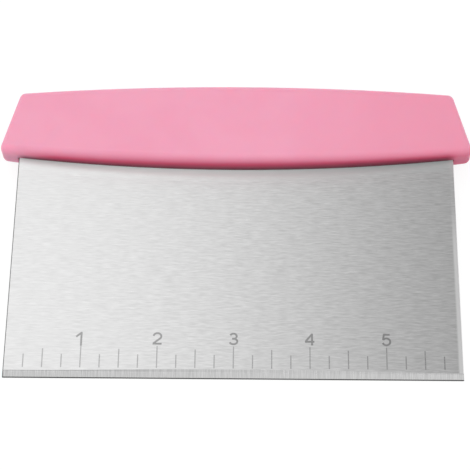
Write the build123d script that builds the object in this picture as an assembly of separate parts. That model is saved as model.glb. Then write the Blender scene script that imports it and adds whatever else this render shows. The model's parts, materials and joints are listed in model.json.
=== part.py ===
from build123d import *
import os
from math import asin, atan2, cos, degrees, hypot, sin, sqrt

# A bench and pan scraper: a ground steel blade clamped in a handle of two moulded half shells.
# It is modelled flat, with the working edge on the X axis, Y up the blade and +Z out of its front face,
# and is then laid on its back as it rests on a table. Lengths are in millimetres.

# Blade
blade_width = 152.4
blade_reach = 82.4
blade_thickness = 1.0
bevel_height = 2.0
working_edge_thickness = 0.5
blade_edge_radius = 0.3
tang_length = 12.6
tang_corner_cut = 5.0
peg_hole_diameter = 5.4

# Outline of the handle, seen from the front
handle_overhang = 6.8
handle_end_height = 23.4
handle_end_taper = 6.5
underside_sag = 5.3
top_rise = 1.7

# Depth of one half of the handle, from the parting plane
handle_middle_depth = 7.8
handle_end_depth = 4.9
rim_radius = 2.7
end_radius = 2.2

# Shell walls, ribs and seam
wall = 2.0
rib_thickness = 1.5
rib_bays = 8
tongue_width = 0.7
tongue_height = 0.8
groove_gap = 0.1

# Seat of the blade
slot_side_gap = 0.4
slot_face_gap = 0.2
stop_gap = 0.2
peg_rise = 6.4
peg_diameter = 4.8
peg_length = 3.2
peg_chamfer = 0.5
socket_gap = 0.1
boss_diameter = 8.4
bays_between_pegs = 3

# How far a cut runs past the solid that it cuts
overrun = 2.0

# How far each way the long sides of the handle are turned round their axes, in degrees
half_turn = 15.0

blade_half = blade_thickness / 2
tang_top = blade_reach + tang_length
handle_half_width = blade_width / 2 + handle_overhang
handle_top_half_width = handle_half_width - handle_end_taper
handle_bottom = blade_reach - underside_sag
handle_shoulder = blade_reach + handle_end_height
handle_top = handle_shoulder + top_rise
handle_middle = (handle_bottom + handle_top) / 2
rib_pitch = blade_width / rib_bays
rib_places = [(bay - rib_bays / 2 + 0.5) * rib_pitch for bay in range(rib_bays)]
peg_places = [row * bays_between_pegs * rib_pitch for row in (-1, 0, 1)]
peg_height = blade_reach + peg_rise


def block(low, high):
    """A box between two opposite corners."""
    size = [top - bottom for bottom, top in zip(low, high)]
    centre = [(top + bottom) / 2 for bottom, top in zip(low, high)]
    return Pos(*centre) * Box(*size)


def bevel_wedge():
    """The steel that grinding takes off the front of the working edge."""
    edge = working_edge_thickness - blade_half
    corners = [(0, edge), (bevel_height, blade_half), (bevel_height, blade_half + overrun),
               (-overrun, blade_half + overrun), (-overrun, edge)]
    profile = Plane.YZ * make_face(Polyline(*corners, close=True))
    return extrude(profile, amount=blade_width / 2 + overrun, both=True)


def blade():
    """The sheet with its hidden tang and peg holes, its long side edges rolled over."""
    sheet = block((-blade_width / 2, 0, -blade_half), (blade_width / 2, tang_top, blade_half))
    tang_corners = sheet.edges().filter_by(Axis.Z).group_by(Axis.Y)[-1]
    sheet = chamfer(tang_corners, tang_corner_cut)
    sheet = fillet(sheet.edges().filter_by(Axis.Y), blade_edge_radius)
    for place in peg_places:
        sheet -= Pos(place, peg_height, 0) * Cylinder(peg_hole_diameter / 2, blade_thickness + overrun)
    return sheet - bevel_wedge()


def arc_radius(half_chord, rise):
    """The radius of an arc, from half its chord and its rise."""
    return (half_chord**2 + rise**2) / (2 * rise)


top_radius = arc_radius(handle_top_half_width, top_rise)
underside_radius = arc_radius(handle_half_width, underside_sag)
crown_radius = arc_radius(handle_half_width, handle_middle_depth - handle_end_depth)
crown_centre = Vector(0, handle_middle, handle_middle_depth - crown_radius)


def long_side(edge, far, bend_radius, inset, rounded):
    """The handle from one long side to beyond the other, with a rounded rim along that side if asked for.

    The face is part of a large sphere. The section at the middle is turned round an axis that leans through
    the sphere's centre, so one turn gives the arch seen from the front and the crown seen from above.
    """
    section = make_face(Polyline((edge, -overrun), (edge, handle_middle_depth + overrun),
                                 (far, handle_middle_depth + overrun), (far, -overrun), close=True))
    section &= Pos(crown_centre.Y, crown_centre.Z) * Circle(crown_radius - inset)
    if rounded:
        rim = section.vertices().sort_by_distance((edge, handle_middle_depth))[0]
        section = fillet(rim, rim_radius - inset)
    lean = atan2(bend_radius, crown_radius)
    away = 1 if far > edge else -1
    axis = Axis(crown_centre, (0, sin(lean), away * cos(lean)))
    section = (Plane.YZ * section).rotate(axis, -half_turn)
    return revolve(section, axis=axis, revolution_arc=2 * half_turn)


def half_form(inset, rounded=True):
    """Half of the closed handle in front of the parting plane, shrunk by inset."""
    slope = handle_end_taper / handle_end_height
    bottom, top = handle_bottom - overrun, handle_top + overrun
    bottom_half, top_half = [handle_half_width - slope * (height - blade_reach) - inset * hypot(1, slope)
                             for height in (bottom, top)]
    ends = make_face(Polyline((-bottom_half, bottom), (bottom_half, bottom), (top_half, top), (-top_half, top),
                              close=True))
    form = extrude(ends, amount=handle_middle_depth + overrun)
    form &= long_side(handle_top - inset, bottom, top_radius, inset, rounded)
    form &= long_side(handle_bottom + inset, top, underside_radius, inset, rounded)
    if not rounded:
        return form
    tips = form.faces().filter_by(GeomType.PLANE).sort_by(Axis.X)
    rims = [edge for tip in (tips[0], tips[-1]) for edge in tip.edges().sort_by(Axis.Z)[1:]]
    return fillet(rims, end_radius - inset)


def ribs():
    """Upright webs, one to a bay, and the long web above the tang that the blade's top edge bears on."""
    webs = [block((place - rib_thickness / 2, handle_bottom, 0),
                  (place + rib_thickness / 2, handle_top, handle_middle_depth)) for place in rib_places]
    stop_bottom = tang_top + stop_gap
    webs.append(block((-handle_half_width, stop_bottom, 0),
                      (handle_half_width, stop_bottom + rib_thickness, handle_middle_depth)))
    return webs


def bosses():
    """Round pads on the blade's face, where the pegs and their sockets stand."""
    return [Pos(place, peg_height, handle_middle_depth / 2) * Cylinder(boss_diameter / 2, handle_middle_depth)
            for place in peg_places]


def half_shell():
    """One half of the handle with a plain square cavity, its ribs and its half of the blade's seat."""
    inside = Part() + ribs() + bosses()
    shell = half_form(0) - half_form(wall, rounded=False) + (inside & half_form(wall / 2))
    seat_half_width = blade_width / 2 + slot_side_gap
    seat = block((-seat_half_width, handle_bottom - overrun, -overrun),
                 (seat_half_width, tang_top + stop_gap, blade_half))
    slot = block((-seat_half_width, handle_bottom - overrun, -overrun),
                 (seat_half_width, blade_reach + wall, blade_half + slot_face_gap))
    return shell - seat - slot


def seam(width, depth):
    """A strip along the middle of the wall, behind the parting plane, open where the blade comes out."""
    strip = half_form((wall - width) / 2) - half_form((wall + width) / 2)
    strip &= block((-blade_width, 0, 0), (blade_width, handle_top, depth))
    slot_half_width = blade_width / 2 + slot_side_gap + wall
    strip -= block((-slot_half_width, handle_bottom - overrun, -overrun),
                   (slot_half_width, blade_reach + wall, depth + overrun))
    return mirror(strip, Plane.XY)


def peg(place):
    """A locating peg with a chamfered tip, standing behind its boss."""
    low = -blade_half - peg_length
    shank = Cylinder(peg_diameter / 2, blade_half - low)
    shank = chamfer(shank.edges().group_by(Axis.Z)[0], peg_chamfer)
    return Pos(place, peg_height, (blade_half + low) / 2) * shank


def handle_front_shell(half):
    """The front half, with the pegs and the seam's tongue."""
    return half + seam(tongue_width, tongue_height) + [peg(place) for place in peg_places]


def handle_rear_shell(half):
    """The rear half, the mirror image, with the sockets and the seam's groove."""
    shell = mirror(half, Plane.XY) - seam(tongue_width + 2 * groove_gap, tongue_height + groove_gap)
    low = -blade_half - peg_length - groove_gap
    for place in peg_places:
        shell -= Pos(place, peg_height, low / 2) * Cylinder(peg_diameter / 2 + socket_gap, -low)
    return shell


def rest_angle():
    """How far the scraper leans when its working edge and the crown of its back lie on a table."""
    reach = handle_bottom + rim_radius
    rim_depth = crown_centre.Z + sqrt((crown_radius - rim_radius)**2 - (handle_middle - reach)**2)
    drop = rim_depth - blade_half
    return degrees(asin(rim_radius / hypot(reach, drop)) + atan2(drop, reach))


def laid_down(pieces):
    """Each piece in the rest position, with the origin under the middle of the whole scraper."""
    leaning = {name: Rot(rest_angle(), 0, 0) * piece for name, piece in pieces.items()}
    whole = Compound([*leaning.values()]).bounding_box()
    shift = Pos(0, -whole.center().Y, -whole.min.Z)
    return {name: shift * piece for name, piece in leaning.items()}, shift


half = half_shell()
pieces, shift = laid_down({
    "blade": blade(),
    "handle_front_shell": handle_front_shell(half),
    "handle_rear_shell": handle_rear_shell(half),
})

os.makedirs("parts", exist_ok=True)
for name, piece in pieces.items():
    export_step(piece, f"parts/{name}.step")
    print(name, "volume", round(piece.volume, 1), "valid", piece.is_valid)

edge_middle = shift * Rot(rest_angle(), 0, 0) * Pos(0, 0, working_edge_thickness / 2 - blade_half)
print("rest angle", round(rest_angle(), 4), "degrees, shift", shift.position)
print("middle of the working edge", edge_middle.position)
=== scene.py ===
import json
import math

import bpy
from mathutils import Matrix, Vector


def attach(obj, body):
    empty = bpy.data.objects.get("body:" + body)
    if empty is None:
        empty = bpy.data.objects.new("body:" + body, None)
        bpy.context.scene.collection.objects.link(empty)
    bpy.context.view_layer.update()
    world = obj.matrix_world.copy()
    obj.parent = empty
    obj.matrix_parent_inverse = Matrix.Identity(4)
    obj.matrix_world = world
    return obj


# A pan scraper lying on its back: a brushed steel blade with an inch ruler, and a matte pink handle.
# Places are given on the blade's front face: right along the working edge from its middle, up the blade,
# and out of it. A pair called a span gives the places, or the values, between which something changes.

mm = 0.001

# Sizes of the blade and the handle that the frame's record doesn't give
sheet_thickness = 1.0 * mm
edge_thickness = 0.5 * mm
blade_width = 152.4 * mm
half_width = blade_width / 2
handle_bottom = 77.1 * mm
underside_radius = 652.5 * mm
handle_depth = 7.8 * mm
crown_radius = 1189.2 * mm
rim_radius = 2.7 * mm

# The strip ground along the working edge: its height at the left, in the middle and at the right
bevel_height = 2.0 * mm
ground_heights = (2.45 * mm, 3.1 * mm, 2.35 * mm)
ground_left_span = (-70 * mm, -10 * mm)
ground_right_span = (10 * mm, 76 * mm)

# Painted light and shade along the blade's edges: a painted highlight along the right side, and painted
# shade along the left side and on the square working edge
edge_shade_height = 0.22 * mm
left_shade_line = 0.32 * mm
right_highlight = 1.5 * mm
right_highlight_blur = 0.4 * mm
right_highlight_end_span = (45 * mm, 68 * mm)
right_highlight_end_share = 0.1

# The grain: how long its strokes are along the blade and up it, and how far they wander up and down
broad_grain = (6 * mm, 0.6 * mm)
fine_grain = (3 * mm, 0.16 * mm)
fine_grain_share = 0.6
grain_wander = (9 * mm, 5 * mm)
wander_height = 1.2 * mm
ground_grain = (0.3 * mm, 6 * mm)

# The values that a noise mostly takes, from all of them to the middle ones
wide_noise_span = (0.2, 0.8)
noise_span = (0.3, 0.7)
narrow_noise_span = (0.35, 0.65)

# Shares of the steel's own colour: at the left and right sides for the sheet's grain and for the painted
# light and shade on the flat part of the ground strip, and from dark to pale for the strip's own strokes
dark_grain_shares = (0.87, 0.77)
pale_grain_shares = (1.01, 1.11)
flat_strip_light_shares = (0.64, 1.15)
ground_shares = (0.81, 0.99)
highlight_share = 1.34
left_shade_share = 0.28
edge_shade_share = 0.08

# The sheet close under the handle, with painted light against the handle's shade mirrored in it
under_handle_span = (0.0, 5.5 * mm)
under_handle_metal = 0.15
painted_light_pale_span = (-76 * mm, -30 * mm)
painted_light_dull_span = (-20 * mm, 80 * mm)

# The plastic: painted shade towards the right end, and on the underside a painted highlight at the left end
# and painted shade and shadow that deepen towards the blade. Levels are shares of the handle's depth, from
# the parting plane to the face.
mould_grain = 0.45 * mm
cloud_size = 18 * mm
cloud_shares = (0.985, 0.95, 0.96)
right_painted_shade_span = (10 * mm, 76 * mm)
right_painted_shade_share = 0.9
underside_span = (0.6 * rim_radius, 1.1 * rim_radius)
left_highlight_span = (-79 * mm, -75 * mm)
painted_shade_level_span = (0.50, 1.05)
painted_shade_start_span = (-80 * mm, -62 * mm)
painted_shade_end_span = (73 * mm, 79 * mm)
painted_shade_end_share = 0.5
painted_shadow_level = 0.08
shadow_fade_levels = (0.68, 0.95)
shadow_fade_span = (0.0, 76 * mm)
blade_side_span = (73.5 * mm, 77.5 * mm)

# The ruler, printed in inches from the blade's left side
inch = 25.4 * mm
ruler_inches = 6
steps_per_inch = 4
ruler_start = 0.2 * mm
tick_foot = 3.5 * mm
tick_width = 0.39 * mm
inch_tick = 7.7 * mm
half_tick = 6.6 * mm
quarter_tick = 4.7 * mm
number_foot = 12.05 * mm
number_stroke = 0.66 * mm
mark_height = 0.02 * mm
mark_height_steps = 3
mark_height_step_share = 0.15
arc_steps = 16

# The camera, from the middle of the working edge on the blade's front
camera_place = (9.77 * mm, -179.37 * mm, 497.69 * mm)
camera_target = (0.17 * mm, 52.34 * mm, -0.5 * mm)
camera_roll = math.radians(-0.812)
sensor_width = 36.0
focal_length = 122.55

# The light's strength by direction, where each part of a direction runs from -1 to 1: over the blade from
# left to right, what is added to that far out on both sides, and towards the front. A share scales it.
overhead_light = (2.29, 0.465)
overhead_span = (-0.11, 0.17)
far_left_light = -1.26
far_left_span = (-0.75, -0.30)
far_right_light = 0.65
far_right_span = (0.25, 0.60)
front_light = 1.47
front_span = (-0.12, 0.18)
low_front_share = 0.40
low_front_span = (-0.90, -0.40)
low_back_share = 0.65
low_back_span = (0.30, 0.90)
white_room_span = (0.20, 0.30)

# The floor
floor_reach = 3.0
floor_glow = 0.85

# Colours, as linear values
white = (1, 1, 1, 1)
pink = (0.93, 0.39, 0.535, 1)
# Painted shade and light on the handle: the right end, the left end's underside, and towards the blade
right_painted_shade_pink = (0.885, 0.33, 0.46, 1)
painted_highlight_pink = (1.0, 0.38, 0.54, 1)
painted_shade_pink = (0.74, 0.06, 0.16, 1)
painted_shadow_pink = (0.13, 0.02, 0.04, 1)
steel = (0.55, 0.55, 0.55, 1)
# Painted light on the sheet close under the handle
painted_light_left_steel = (0.76, 0.80, 0.79, 1)
painted_light_pale_steel = (0.90, 1.0, 0.98, 1)
painted_light_dull_steel = (0.50, 0.56, 0.55, 1)
number_grey = (0.27, 0.27, 0.27, 1)
tick_grey = (0.34, 0.34, 0.34, 1)
floor_grey = (0.70, 0.70, 0.70, 1)
floor_shade = (0.20, 0.20, 0.20, 1)

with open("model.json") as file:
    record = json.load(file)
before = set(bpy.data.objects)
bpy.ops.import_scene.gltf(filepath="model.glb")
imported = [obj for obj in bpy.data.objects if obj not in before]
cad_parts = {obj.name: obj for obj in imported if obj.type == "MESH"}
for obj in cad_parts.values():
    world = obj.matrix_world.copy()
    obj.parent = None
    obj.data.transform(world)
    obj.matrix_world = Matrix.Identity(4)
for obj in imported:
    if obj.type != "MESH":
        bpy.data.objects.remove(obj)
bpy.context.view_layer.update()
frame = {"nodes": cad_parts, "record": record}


def blade_frame():
    """The matrix from the blade's own directions, with the origin on the line of its front face."""
    mount = frame["record"]["mounts"][0]
    up = -Vector(mount["axis"])
    right = Vector((1, 0, 0))
    out = right.cross(up)
    origin = Vector(mount["pos_m"]) + out * (sheet_thickness - edge_thickness / 2)
    return Matrix.Translation(origin) @ Matrix((right, up, out)).transposed().to_4x4()


on_blade = blade_frame()


class Nodes:
    """A short way to write a node tree. Any input is a value or another node's output."""

    def __init__(self, tree):
        self.tree = tree
        tree.nodes.clear()

    def add(self, kind, inputs=(), **settings):
        node = self.tree.nodes.new(kind)
        for name, value in settings.items():
            setattr(node, name, value)
        for name, value in dict(inputs).items():
            if isinstance(value, bpy.types.NodeSocket):
                self.tree.links.new(value, node.inputs[name])
            else:
                node.inputs[name].default_value = value
        return node

    def math(self, operation, first, second=0.0):
        return self.add("ShaderNodeMath", {0: first, 1: second}, operation=operation).outputs[0]

    def product(self, first, *others):
        for other in others:
            first = self.math("MULTIPLY", first, other)
        return first

    def ramp(self, value, span, ends=(0.0, 1.0)):
        """The value carried smoothly from its span to the range between the two ends."""
        low, high = span
        start, end = ends
        inputs = {"Value": value, "From Min": low, "From Max": high, "To Min": start, "To Max": end}
        return self.add("ShaderNodeMapRange", inputs, interpolation_type="SMOOTHSTEP").outputs[0]

    def blend(self, share, first, second):
        """Number first at share 0 and second at share 1."""
        return self.add("ShaderNodeMix", {0: share, 2: first, 3: second}).outputs[0]

    def mix(self, share, first, second):
        """Colour first at share 0 and second at share 1."""
        return self.add("ShaderNodeMix", {0: share, 6: first, 7: second}, data_type="RGBA").outputs[2]

    def shader_mix(self, share, first, second):
        """Shader first at share 0 and second at share 1."""
        return self.add("ShaderNodeMixShader", {0: share, 1: first.outputs[0], 2: second.outputs[0]})

    def noise(self, vector, scale, detail=2.0, roughness=0.5):
        return self.add("ShaderNodeTexNoise", {"Vector": vector, "Scale": scale, "Detail": detail,
                                               "Roughness": roughness}).outputs[0]

    def seen(self):
        """1 for a ray that shows a surface itself, or its mirror image."""
        path = self.add("ShaderNodeLightPath").outputs
        mirrored = self.math("MAXIMUM", path["Is Glossy Ray"], path["Is Transmission Ray"])
        return self.math("MAXIMUM", path["Is Camera Ray"], mirrored)


def new_material(name):
    material = bpy.data.materials.new(name)
    material.use_nodes = True
    return material, Nodes(material.node_tree)


def new_object(name, data):
    piece = bpy.data.objects.new(name, data)
    bpy.context.scene.collection.objects.link(piece)
    return piece


def shaded(colour, share):
    """A colour with its brightness scaled."""
    return tuple(value * share for value in colour[:3]) + (1,)


def blade_coordinates(nodes):
    """The place on the blade in metres as one vector, and its right, up and out parts."""
    inverse = on_blade.inverted()
    place = nodes.add("ShaderNodeTexCoord").outputs["Object"]
    turned = nodes.add("ShaderNodeMapping", {"Vector": place, "Location": inverse.to_translation(),
                                             "Rotation": inverse.to_euler()}).outputs[0]
    return turned, *nodes.add("ShaderNodeSeparateXYZ", {0: turned}).outputs


def strokes(nodes, vector, size, detail=2.0):
    """A noise of strokes with the given length along the blade and height up it."""
    along, high = size
    scaled = nodes.add("ShaderNodeMapping", {"Vector": vector, "Scale": (1 / along, 1 / high, 1 / high)})
    return nodes.noise(scaled.outputs[0], 1.0, detail)


def parabola(nodes, right, radius):
    """How far an arc of the given radius has bent away from its middle."""
    return nodes.product(right, right, 0.5 / radius)


def underside(nodes, right):
    """How far up the blade the handle's arched underside is."""
    return nodes.math("ADD", parabola(nodes, right, underside_radius), handle_bottom)


def brushed_steel(name, colour):
    """Sheet brushed along the working edge, with a strip along the edge that is ground upright."""
    material, nodes = new_material(name)
    vector, right, up, _ = blade_coordinates(nodes)
    rightward_span = (-half_width, half_width)

    # The grain wanders a little up and down as it runs along the blade
    drift = nodes.product(strokes(nodes, vector, grain_wander, detail=1.0), wander_height)
    wander = nodes.add("ShaderNodeCombineXYZ", {1: drift}).outputs[0]
    bent = nodes.add("ShaderNodeVectorMath", {0: vector, 1: wander}, operation="ADD").outputs[0]
    grain = nodes.blend(fine_grain_share, strokes(nodes, bent, broad_grain), strokes(nodes, bent, fine_grain))
    ground_strokes = strokes(nodes, vector, ground_grain)

    left_height, middle_height, right_height = ground_heights
    ground_top = nodes.math("ADD", nodes.ramp(right, ground_left_span, (left_height, middle_height)),
                            nodes.ramp(right, ground_right_span, (0.0, right_height - middle_height)))
    ground = nodes.math("LESS_THAN", up, ground_top)
    relief = nodes.blend(ground, grain, ground_strokes)

    # The grain shows more clearly towards the right, where the steel mirrors less light
    rightward = nodes.ramp(right, rightward_span)
    dark_grain, pale_grain = [nodes.mix(rightward, *[shaded(colour, share) for share in shares])
                              for shares in (dark_grain_shares, pale_grain_shares)]
    sheet = nodes.mix(nodes.ramp(grain, noise_span), dark_grain, pale_grain)

    # Close under the handle the sheet is painted paler at the left and duller at the right and mirrors less,
    # as painted light against the handle's shade mirrored in the steel
    below = nodes.math("SUBTRACT", underside(nodes, right), up)
    painted_under_handle = nodes.mix(nodes.ramp(right, painted_light_pale_span), painted_light_left_steel, painted_light_pale_steel)
    painted_under_handle = nodes.mix(nodes.ramp(right, painted_light_dull_span), painted_under_handle, painted_light_dull_steel)
    sheet = nodes.mix(nodes.ramp(below, under_handle_span), painted_under_handle, sheet)
    metal = nodes.ramp(below, under_handle_span, (under_handle_metal, 1.0))

    # Above the bevel the flat strip mirrors the sheet's light, which painted shade at the left and painted
    # light at the right even out
    strip = nodes.mix(nodes.ramp(ground_strokes, narrow_noise_span),
                      *[shaded(colour, share) for share in ground_shares])
    flat = nodes.ramp(up, (bevel_height, 1.1 * bevel_height))
    strip_light_share = nodes.blend(flat, 1.0, nodes.ramp(right, rightward_span, flat_strip_light_shares))
    strip = nodes.add("ShaderNodeVectorMath", {0: strip, "Scale": strip_light_share}, operation="SCALE").outputs[0]
    tint = nodes.mix(ground, sheet, strip)

    # A painted highlight along the right, painted shade along the left, and painted shade on the square edge
    highlight_start = half_width - right_highlight
    highlight = nodes.product(nodes.ramp(right, (highlight_start - right_highlight_blur, highlight_start + right_highlight_blur)),
                         nodes.ramp(up, right_highlight_end_span, (1.0, right_highlight_end_share)),
                         nodes.math("SUBTRACT", 1.0, ground))
    tint = nodes.mix(highlight, tint, shaded(colour, highlight_share))
    tint = nodes.mix(nodes.math("LESS_THAN", right, left_shade_line - half_width), tint, shaded(colour, left_shade_share))
    tint = nodes.mix(nodes.math("LESS_THAN", up, edge_shade_height), tint, shaded(colour, edge_shade_share))

    # The scratches spread the light across themselves: up the blade, or along it on the ground strip
    normal = nodes.add("ShaderNodeNewGeometry").outputs["Normal"]
    across = nodes.add("ShaderNodeVectorMath", {0: normal, 1: (1, 0, 0)}, operation="CROSS_PRODUCT")
    bump = nodes.add("ShaderNodeBump", {"Height": relief, "Strength": 0.05, "Distance": 0.03 * mm})
    shader = nodes.add("ShaderNodeBsdfPrincipled", {
        "Base Color": tint,
        "Roughness": nodes.ramp(relief, wide_noise_span, (0.31, 0.27)),
        "Metallic": metal,
        "Anisotropic": 0.6,
        "Anisotropic Rotation": nodes.product(ground, 0.25),
        "Tangent": across.outputs[0],
        "Normal": bump.outputs[0],
    })
    nodes.add("ShaderNodeOutputMaterial", {0: shader.outputs[0]})
    return material


def moulded_plastic(name, colour):
    """Matte pink plastic with a very fine mould texture."""
    material, nodes = new_material(name)
    vector = nodes.add("ShaderNodeTexCoord").outputs["Object"]
    _, right, up, out = blade_coordinates(nodes)
    texture = nodes.noise(vector, 1 / mould_grain, 3.0, 0.6)
    cloud = nodes.noise(vector, 1 / cloud_size)
    clouded = (*[value * share for value, share in zip(colour, cloud_shares)], 1)
    tint = nodes.mix(nodes.ramp(cloud, noise_span), clouded, colour)
    # Painted shade darkens the pink towards the right end
    tint = nodes.mix(nodes.ramp(right, right_painted_shade_span, (0.0, right_painted_shade_share)), tint, right_painted_shade_pink)

    # Where the surface is on the underside, and how far between the parting plane and the face
    depth = nodes.math("SUBTRACT", handle_depth, parabola(nodes, right, crown_radius))
    height = nodes.math("ABSOLUTE", nodes.math("ADD", out, sheet_thickness / 2))
    level = nodes.math("DIVIDE", height, depth)
    above = nodes.math("SUBTRACT", up, underside(nodes, right))
    under = nodes.ramp(above, underside_span, (1.0, 0.0))

    # A painted highlight makes the left end's underside a brighter pink, and painted shade and shadow deepen
    # the rest towards the blade
    left_highlight = nodes.product(under, nodes.ramp(right, left_highlight_span, (1.0, 0.0)))
    tint = nodes.mix(left_highlight, tint, painted_highlight_pink)
    # Painted shade deepens the underside's pink towards the blade
    painted_shade = nodes.product(under, nodes.ramp(level, painted_shade_level_span, (1.0, 0.0)),
                         nodes.ramp(right, painted_shade_start_span),
                         nodes.ramp(right, painted_shade_end_span, (1.0, painted_shade_end_share)))
    tint = nodes.mix(painted_shade, tint, painted_shade_pink)
    # Painted shadow darkens the underside next to the blade, over it only, in a band that widens to the right
    shadow_fade_level = nodes.ramp(right, shadow_fade_span, shadow_fade_levels)
    over_blade = nodes.ramp(nodes.math("ABSOLUTE", right), blade_side_span, (1.0, 0.0))
    painted_shadow = nodes.product(under, nodes.ramp(level, (painted_shadow_level, shadow_fade_level), (1.0, 0.0)), over_blade)
    tint = nodes.mix(painted_shadow, tint, painted_shadow_pink)

    bump = nodes.add("ShaderNodeBump", {"Height": texture, "Strength": 0.12, "Distance": 0.04 * mm})
    shader = nodes.add("ShaderNodeBsdfPrincipled", {
        "Base Color": tint,
        "Roughness": nodes.ramp(texture, wide_noise_span, (0.50, 0.42)),
        "Subsurface Weight": 0.5,
        "Subsurface Scale": 2.0 * mm,
        "Subsurface Radius": (1.0, 0.2, 0.3),
        "Specular IOR Level": 0.3,
        "Normal": bump.outputs[0],
    })
    nodes.add("ShaderNodeOutputMaterial", {0: shader.outputs[0]})
    return material


def paint(node_name, material):
    """Gives a CAD node its finish."""
    mesh = frame["nodes"][node_name].data
    mesh.materials.clear()
    mesh.materials.append(material)


def arc(across, up, wide, high, start, end):
    """Points round part of an ellipse, from one angle to another, in degrees."""
    turns = [math.radians(start + (end - start) * step / arc_steps) for step in range(arc_steps + 1)]
    return [(across + wide * math.cos(turn), up + high * math.sin(turn)) for turn in turns]


# The strokes of each number in millimetres, from the middle of its foot
number_strokes = {
    1: [[(-1.75, 2.30), (0.05, 3.75)],
        [(0, 4.0), (0, -0.9)]],
    2: [arc(0, 2.62, 1.28, 1.13, 172, -35) + [(-1.25, 0.15)],
        [(-1.55, 0), (1.45, 0)]],
    3: [arc(-0.05, 2.83, 1.08, 0.92, 160, -90),
        [(-0.50, 1.93), (0.05, 1.93)],
        arc(-0.05, 0.97, 1.30, 0.97, 88, -162)],
    4: [[(0.70, -0.25), (0.70, 3.95)],
        [(0.72, 3.80), (-1.45, 1.12)],
        [(-1.65, 1.05), (1.50, 1.05)]],
    5: [[(1.15, 3.75), (-1.05, 3.75)],
        [(-0.80, 3.75), (-1.08, 1.85)],
        arc(0, 1.22, 1.28, 1.22, 146, -160)],
}


def mark(name, lines, width, material):
    """Flat strokes on the blade, one along each line of points, as closed ribbons of four corners a ring."""
    points, faces = [], []
    for index, line in enumerate(lines):
        # Strokes that cross stand out a little differently, so that no two faces lie in one plane
        height = mark_height * (1 + mark_height_step_share * (index % mark_height_steps))
        line = [Vector(place) for place in line]
        first = len(points)
        for before, here, after in zip(line[:1] + line, line, line[1:] + line[-1:]):
            along = (after - before).normalized()
            aside = Vector((-along.y, along.x)) * width / 2
            left, right = here + aside, here - aside
            points += [(*left, -height), (*right, -height), (*right, height), (*left, height)]
        last = len(points) - 4
        for ring in range(first, last, 4):
            faces += [(ring + now, ring + now + 4, ring + after + 4, ring + after)
                      for now, after in ((0, 1), (1, 2), (2, 3), (3, 0))]
        faces += [(first, first + 1, first + 2, first + 3), (last + 3, last + 2, last + 1, last)]
    mesh = bpy.data.meshes.new(name)
    mesh.from_pydata(points, [], faces)
    mesh.materials.append(material)
    piece = new_object(name, mesh)
    piece.matrix_world = on_blade
    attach(piece, "root")


def tick_length(step):
    """The length of a tick, by its count of quarter inches."""
    if step % steps_per_inch == 0:
        return inch_tick
    if step % (steps_per_inch // 2) == 0:
        return half_tick
    return quarter_tick


def ruler(tick_material, number_material):
    """A tick for each quarter inch, and a number over each inch tick."""
    start = ruler_start - half_width
    ticks = []
    for step in range(1, ruler_inches * steps_per_inch):
        across = start + step * inch / steps_per_inch
        ticks.append([(across, tick_foot), (across, tick_foot + tick_length(step))])
    mark("ruler_ticks", ticks, tick_width, tick_material)
    for value, shape in number_strokes.items():
        lines = [[(start + value * inch + across * mm, number_foot + up * mm) for across, up in line]
                 for line in shape]
        mark(f"ruler_number_{value}", lines, number_stroke, number_material)


def floor():
    """A wide pale floor that shows as white behind the scraper and keeps its shadow."""
    corners = [(across * floor_reach, along * floor_reach, 0)
               for across, along in ((-1, -1), (1, -1), (1, 1), (-1, 1))]
    mesh = bpy.data.meshes.new("floor")
    mesh.from_pydata(corners, [], [(0, 1, 2, 3)])
    material, nodes = new_material("pale_floor")
    matte = nodes.add("ShaderNodeBsdfDiffuse", {"Color": floor_grey})
    shadowed = nodes.add("ShaderNodeBsdfDiffuse", {"Color": floor_shade})
    glow = nodes.add("ShaderNodeEmission", {"Strength": floor_glow})
    pale = nodes.add("ShaderNodeAddShader", {0: shadowed.outputs[0], 1: glow.outputs[0]})
    shader = nodes.shader_mix(nodes.seen(), matte, pale)
    nodes.add("ShaderNodeOutputMaterial", {0: shader.outputs[0]})
    mesh.materials.append(material)
    new_object("floor", mesh)


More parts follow.
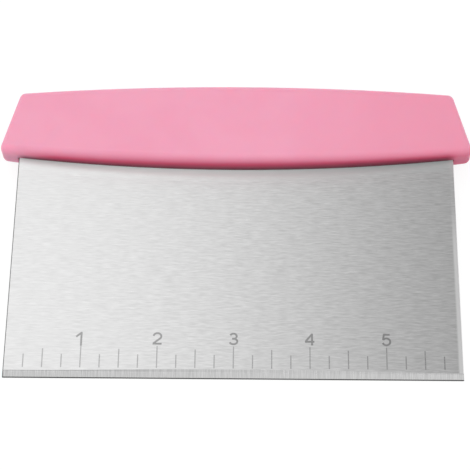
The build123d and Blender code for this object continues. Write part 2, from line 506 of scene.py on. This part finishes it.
def studio_world():
    """Soft light all round: brightest over the left, weaker over the right and low in front and behind."""
    world = bpy.data.worlds.new("studio")
    world.use_nodes = True
    bpy.context.scene.world = world
    nodes = Nodes(world.node_tree)
    direction = nodes.add("ShaderNodeTexCoord").outputs["Generated"]
    x, y, z = nodes.add("ShaderNodeSeparateXYZ", {0: direction}).outputs
    overhead = nodes.math("ADD", nodes.ramp(x, far_left_span, (far_left_light, 0.0)),
                          nodes.ramp(x, far_right_span, (0.0, far_right_light)))
    overhead = nodes.math("ADD", nodes.ramp(x, overhead_span, overhead_light), overhead)
    strength = nodes.product(nodes.blend(nodes.ramp(y, front_span), front_light, overhead),
                             nodes.ramp(y, low_front_span, (low_front_share, 1.0)),
                             nodes.ramp(y, low_back_span, (1.0, low_back_share)))
    studio = nodes.add("ShaderNodeBackground", {"Strength": strength})
    # Low down the room is plain white, as seen and as mirrored
    room = nodes.add("ShaderNodeBackground", {"Color": white, "Strength": 1.0})
    in_room = nodes.product(nodes.seen(), nodes.ramp(z, white_room_span, (1.0, 0.0)))
    both = nodes.shader_mix(in_room, studio, room)
    nodes.add("ShaderNodeOutputWorld", {0: both.outputs[0]})


def camera():
    """The photograph's camera, placed from the blade."""
    place = on_blade @ Vector(camera_place)
    ahead = (on_blade @ Vector(camera_target) - place).normalized()
    up_blade = on_blade.to_3x3() @ Vector((0, 1, 0))
    right = ahead.cross(up_blade).normalized()
    up = right.cross(ahead)
    turned = Matrix((right, up, -ahead)).transposed() @ Matrix.Rotation(-camera_roll, 3, "Z")
    lens = bpy.data.cameras.new("camera")
    lens.sensor_width = sensor_width
    lens.lens = focal_length
    view = new_object("camera", lens)
    view.matrix_world = Matrix.Translation(place) @ turned.to_4x4()
    bpy.context.scene.camera = view


blade_finish = brushed_steel("brushed_steel", steel)
number_finish = brushed_steel("ruler_number", number_grey)
tick_finish = brushed_steel("ruler_tick", tick_grey)
handle_finish = moulded_plastic("pink_plastic", pink)
paint("blade", blade_finish)
paint("handle_front_shell", handle_finish)
paint("handle_rear_shell", handle_finish)
ruler(tick_finish, number_finish)
floor()
studio_world()
camera()
bpy.context.scene.view_settings.view_transform = "Standard"
